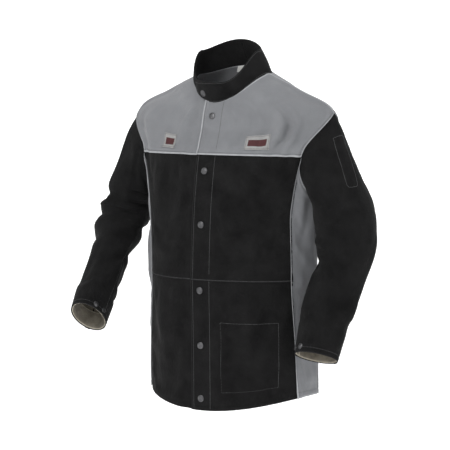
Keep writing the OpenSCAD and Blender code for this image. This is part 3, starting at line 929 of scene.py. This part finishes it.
for word, side in SIDES.items():
    group = f"{word} front"
    drop = under_drop(side)
    place = strip(front_edge, armhole_front, YOKE_STEP, NECK_STEP + HIDDEN["neck"], side)
    cut(f"yoke_{word}_cloth", group, body, place, COTTON, TWILL, drop=drop, rows=YOKE_ROWS, rim=COTTON_RIM,
        laps={"bottom": YOKE_LAP, "right": 1.8, "left": 1.5})
    place = strip(front_edge, side_tuck, WAIST_STEP, YOKE_STEP + HIDDEN["upper"], side)
    cut(f"front_upper_{word}_leather", group, body, place, LEATHER, SUEDE, FLESH, drop=drop,
        laps={"bottom": SEAM_LAP}, rows={"bottom": (WAIST_STITCH,), "left": (STITCH,)})
    place = strip(front_edge, side_tuck, 0.0, WAIST_STEP + HIDDEN["lower"], side)
    cut(f"front_lower_{word}_leather", group, body, place, LEATHER, SUEDE, FLESH,
        drop=pocket_groove if side > 0 else drop, rows={"top": (LOW_STITCH,), "left": (STITCH,)})
    place = strip(line_at(0.5 - LAP), line_at(LAP), *FACING_STEPS, side)
    cut(f"placket_facing_{word}_leather", group, body, place, FACING, SUEDE, drop=drop,
        level=-LEATHER - GAP["facing"])

    t = np.linspace(0.05, NECK_STEP - 0.08, 900)
    a = side * angle_at(TORSO, LAP - 1.0, t)
    sew_on(group, body, a, t, -LAP_DROP if drop else 0.0)

    if word == "left":
        t0, t1 = step_at(POCKET_Z[0]), step_at(POCKET_Z[1])
        place = strip(line_at(POCKET_X[0]), line_at(POCKET_X[1]), t0, t1)
        cut("pocket_bag_leather", group, body, place, FACING, SUEDE, FLESH, drop=pocket_belly,
            level=-LEATHER - GAP["pocket"])
        near, far = POCKET_X
        corners = [(near, t1), (near, t0), (far, t0), (far, t1), (near, t1)]
        for (xa, ta), (xb, tb) in zip(corners, corners[1:]):
            t = np.linspace(ta, tb, 200)
            a = angle_at(TORSO, np.linspace(xa, xb, 200), t)
            sew_on(group, body, a, t, -pocket_groove(a, t))

    end = PATCH_END[word]
    place = strip(line_at(PATCH_START), line_at(end), step_at(PATCH_Z[0]), step_at(PATCH_Z[1]), side)
    patch = cut(f"chest_patch_{word}_cloth", group, body, place, PATCH_THICK, PATCH,
                finish="patch_cloth", drop=patch_drop(drop), level=PATCH_LEVEL)
    place = strip(line_at(PATCH_START + BAND_IN), line_at(end - BAND_IN), step_at(PATCH_Z[0] + BAND_UP),
                  step_at(PATCH_Z[1] - BAND_UP), side)
    cut(f"chest_patch_band_{word}_cloth", group, body, place, BAND_THICK, PATCH_DARK, finish="patch_cloth",
        drop=patch_drop(drop), level=BAND_LEVEL)
    for edge in ("top", "bottom", "left", "right"):
        sew(group, *patch.line(edge, PATCH_STITCH))


# The sides, the back and the neck label stay with the body.
def behind(side, seam, tuck=0.0):
    """A line on the back, which mirrors a seam of the front and lies tuck degrees further round."""
    return lambda t: 180 + side * seam(t) + side * tuck


def side_place(side):
    """Between the two side seams, from the hem up to the armpit's curve."""
    def place(u, v):
        t = armpit(90 + ARMHOLE_HALF * (2 * u - 1)) * v
        first = side_seam(t)
        return side * (first + (180 - 2 * first) * u), t
    return place


for word, side in SIDES.items():
    cut(f"side_panel_{word}_cloth", "torso", body, side_place(side), COTTON, TWILL,
        laps={"left": 3.0, "top": 1.9}, rim=COTTON_RIM,
        rows={"left": (STITCH,), "top": (STITCH,), "bottom": (SECOND_STITCH,)})

place = strip(behind(-1, side_seam, BACK_TUCK), behind(1, side_seam, BACK_TUCK),
              0.0, YOKE_STEP + HIDDEN["back"])
cut("back_panel_cloth", "torso", body, place, COTTON, TWILL, laps={"left": SEAM_LAP, "right": SEAM_LAP},
    rows={"left": (STITCH,), "right": (STITCH,), "bottom": (SECOND_STITCH,)})
place = strip(behind(-1, armhole_front), behind(1, armhole_front), YOKE_STEP, NECK_STEP + HIDDEN["neck"])
cut("back_yoke_cloth", "torso", body, place, COTTON, TWILL, rows=YOKE_ROWS,
    laps={"bottom": 1.8, "left": 1.8, "right": 1.8})
place = strip(fixed(LABEL_ANGLES[0]), fixed(LABEL_ANGLES[1]), *LABEL_STEPS)
cut("neck_label_cloth", "torso", body, place, 0.6, LABEL, finish="label_cloth", level=-COTTON - 0.4)


# The collar: the leather and its lining are one turned piece on each side, joined at the middle of the back.
def collar_end(side):
    """The line of a collar end, rounded back a little at its top corner."""
    return lambda t: angle_at(COLLAR, -COLLAR_REACH[side] + 5 * smooth(1.75, COLLAR_TOP, t), t)


for word, side in SIDES.items():
    place = strip(collar_end(side), fixed(180), -HIDDEN["collar"], COLLAR_TOP, side)
    middle = ["collar_back", "collar_lining_back"] if side > 0 else []
    cut(f"collar_{word}_leather", f"{word} collar", collar, place, LEATHER + FACING + 0.3, SUEDE,
        also=[f"collar_{word}_end", f"collar_lining_{word}", *middle], level=1.0,
        drop=under_drop(side, COLLAR), rim=0,
        rows={"top": (STITCH,), "left": (STITCH,), "bottom": (COLLAR_STITCH,)})


# ---- the sleeves ----
def sleeve_place(first, last, low, high):
    return lambda u, v: (first + (last - first) * u, low + (high - low) * v)


SLEEVE_BAG = (56, 92, 0.30, 0.88)  # first and last angle, first and last step
# The sleeve pocket's front and rear corner, as (angle, step), at its top and at its end.
SLEEVE_POCKET_TOP = np.array([[62.7, 0.27], [95.2, 0.34]])
SLEEVE_POCKET_END = np.array([[50.0, 0.86], [76.0, 0.88]])
SLEEVE_POCKET_SIZE = (34, 62)
SLEEVE_GROOVE_DEPTH, SLEEVE_GROOVE_HALF = 0.8, 2.6
CUFF_FACING = (CUFF - 0.62, CUFF - 0.03)  # the steps between which the cuff's facing lies


def pocket_corner(u, v):
    """A point of the sleeve pocket's outline: u across, v down, both 0 to 1."""
    front, rear = SLEEVE_POCKET_TOP * (1 - v) + SLEEVE_POCKET_END * v
    return front * (1 - u) + rear * u


def sleeve_groove(a, q):
    """The dent along the sleeve pocket's outline: u across it, from a first guess of v, then v down it."""
    v = (q - 0.3) / 0.57
    (front, high), (rear, low) = SLEEVE_POCKET_TOP
    end_front, end_rear = SLEEVE_POCKET_END[:, 0]
    first, last = front + (end_front - front) * v, rear + (end_rear - rear) * v
    u = (a % 360 - first) / (last - first)
    v = (q - high - (low - high) * u * (1 - v)) / (SLEEVE_POCKET_END[0, 1] - high)
    wide, long = SLEEVE_POCKET_SIZE
    distance = box_distance(u * wide, v * long, (0, wide, 0, long))
    return SLEEVE_GROOVE_DEPTH * np.exp(-((distance / SLEEVE_GROOVE_HALF) ** 2))


for word, side in SIDES.items():
    skin = left_arm if side > 0 else right_arm
    parts = (("upper", -HIDDEN["sleeve"], SPLIT, "top"), ("lower", SPLIT, CUFF, "bottom"))
    for part, low, high, joined in parts:
        group = f"{word} {part}"
        node = f"upper_sleeve_{word}" if part == "upper" else f"forearm_{word}"
        cuff_rows = {} if part == "upper" else {"top": (SECOND_STITCH,)}
        drop = sleeve_groove if node == "upper_sleeve_left" else None
        place = sleeve_place(*SLEEVE_SEAMS, low, high)
        cut(f"{node}_outer_leather", group, skin, place, LEATHER, SUEDE, FLESH, rests=f"{word}_sleeve",
            joined=joined, laps={"left": SEAM_LAP, "right": SEAM_LAP}, drop=drop,
            rows={"left": (STITCH,), "right": (STITCH,), **cuff_rows})
        place = sleeve_place(SLEEVE_SEAMS[1] - 8, SLEEVE_SEAMS[0] + 368, low, high)
        cut(f"{node}_under_leather", group, skin, place, LEATHER, SUEDE, FLESH, rests=f"{word}_sleeve",
            joined=joined, rows=cuff_rows)
    place = sleeve_place(SLEEVE_SEAMS[0], SLEEVE_SEAMS[0] + 359.5, *CUFF_FACING)
    cut(f"cuff_facing_{word}_leather", f"{word} lower", skin, place, FACING, FLESH, rests=f"{word}_forearm",
        finish="leather_flesh_side", level=-LEATHER - GAP["cuff"])

cut("sleeve_pocket_bag_leather", "left upper", left_arm, sleeve_place(*SLEEVE_BAG), FACING, SUEDE, FLESH,
    rests="left_sleeve", level=-LEATHER - GAP["sleeve pocket"])
bend = np.linspace(0, math.pi / 2, 7)  # the two lower corners are rounded
outline = [(0, 0)] + [(0.2 * (1 - math.cos(k)), 1 - 0.12 * (1 - math.sin(k))) for k in bend]
outline += [(1 - 0.2 * (1 - math.sin(k)), 1 - 0.12 * (1 - math.cos(k))) for k in bend] + [(1, 0), (0, 0)]
path("left upper", left_arm, [pocket_corner(u, v) for u, v in outline], -0.6)

for group, lines in threads.items():
    stitched = stitch_mesh(f"stitches_{group}".replace(" ", "_"), lines, THREAD)
    attach(stitched, group)

for name, node in frame["nodes"].items():
    if "snap" in name:
        node.data.materials.clear()
        node.data.materials.append(METAL)


# ---- the set ----
TURN = math.radians(33)
TILT = math.radians(4.37)
AWAY, ASIDE, UP = 5.5, 0.0224, 0.823  # the camera's distance, shift to the left and height
RIGHT = Vector((math.cos(TURN), math.sin(TURN), 0))
BACK = Vector((-math.sin(TURN), math.cos(TURN), 0))

camera_data = bpy.data.cameras.new("camera")
camera_data.lens = 196.4
camera_data.sensor_width = 36
camera = bpy.data.objects.new("camera", camera_data)
bpy.context.scene.collection.objects.link(camera)
camera.location = -BACK * AWAY - RIGHT * ASIDE + Vector((0, 0, UP))
camera.rotation_euler = (math.pi / 2 - TILT, 0, TURN)
bpy.context.scene.camera = camera

# A round pale floor that curves up into a wall, well outside the camera's circle.
FLOOR, WALL, BEND = -0.6, 26.0, 3.0
profile = [(0.0002, FLOOR), (3.0, FLOOR), (9.0, FLOOR), (WALL - BEND, FLOOR)]
profile += [(WALL - BEND * (1 - math.sin(k)), FLOOR + BEND * (1 - math.cos(k)))
            for k in np.linspace(0.2, math.pi / 2, 10)]
profile += [(WALL, 14.0)]
AROUND = 72
points = [(r * math.cos(k), r * math.sin(k), z) for r, z in profile
          for k in np.linspace(0, 2 * math.pi, AROUND, endpoint=False)]
ahead = [(k + 1) % AROUND for k in range(AROUND)]
quads = [(i * AROUND + k, i * AROUND + ahead[k], (i + 1) * AROUND + ahead[k], (i + 1) * AROUND + k)
         for i in range(len(profile) - 1) for k in range(AROUND)]
PAPER = material("paper", 0.95, [(0.86, 0.86, 0.86), (0.9, 0.9, 0.9)], 3, [])
glow = PAPER.node_tree.nodes["Principled BSDF"].inputs
glow["Emission Color"].default_value = (1, 1, 1, 1)
glow["Emission Strength"].default_value = 0.62
backdrop = mesh_object("backdrop", points, quads, PAPER)

world = bpy.data.worlds.new("world")
world.use_nodes = True
world.node_tree.nodes["Background"].inputs["Color"].default_value = (1, 1, 1, 1)
world.node_tree.nodes["Background"].inputs["Strength"].default_value = 0.4
bpy.context.scene.world = world
bpy.context.scene.view_settings.view_transform = "Standard"


def soft_light(name, right, back, height, size, watts):
    """A soft box, turned to the middle of the jacket."""
    lamp = bpy.data.lights.new(name, "AREA")
    lamp.shape = "RECTANGLE"
    lamp.size, lamp.size_y = size
    lamp.energy = watts
    made = bpy.data.objects.new(name, lamp)
    made.location = RIGHT * right + BACK * back + Vector((0, 0, height))
    made.rotation_euler = (made.location - Vector((0, 0, 0.4))).to_track_quat("Z", "Y").to_euler()
    bpy.context.scene.collection.objects.link(made)


soft_light("key", -1.5, -2.2, 2.6, (1.2, 1.2), 90)
soft_light("fill", 2.4, -1.8, 1.2, (1.8, 2.2), 20)
soft_light("top", 0.2, 0.3, 3.0, (2.2, 2.2), 30)
soft_light("back", 0.0, 2.6, 2.4, (2.0, 1.2), 40)
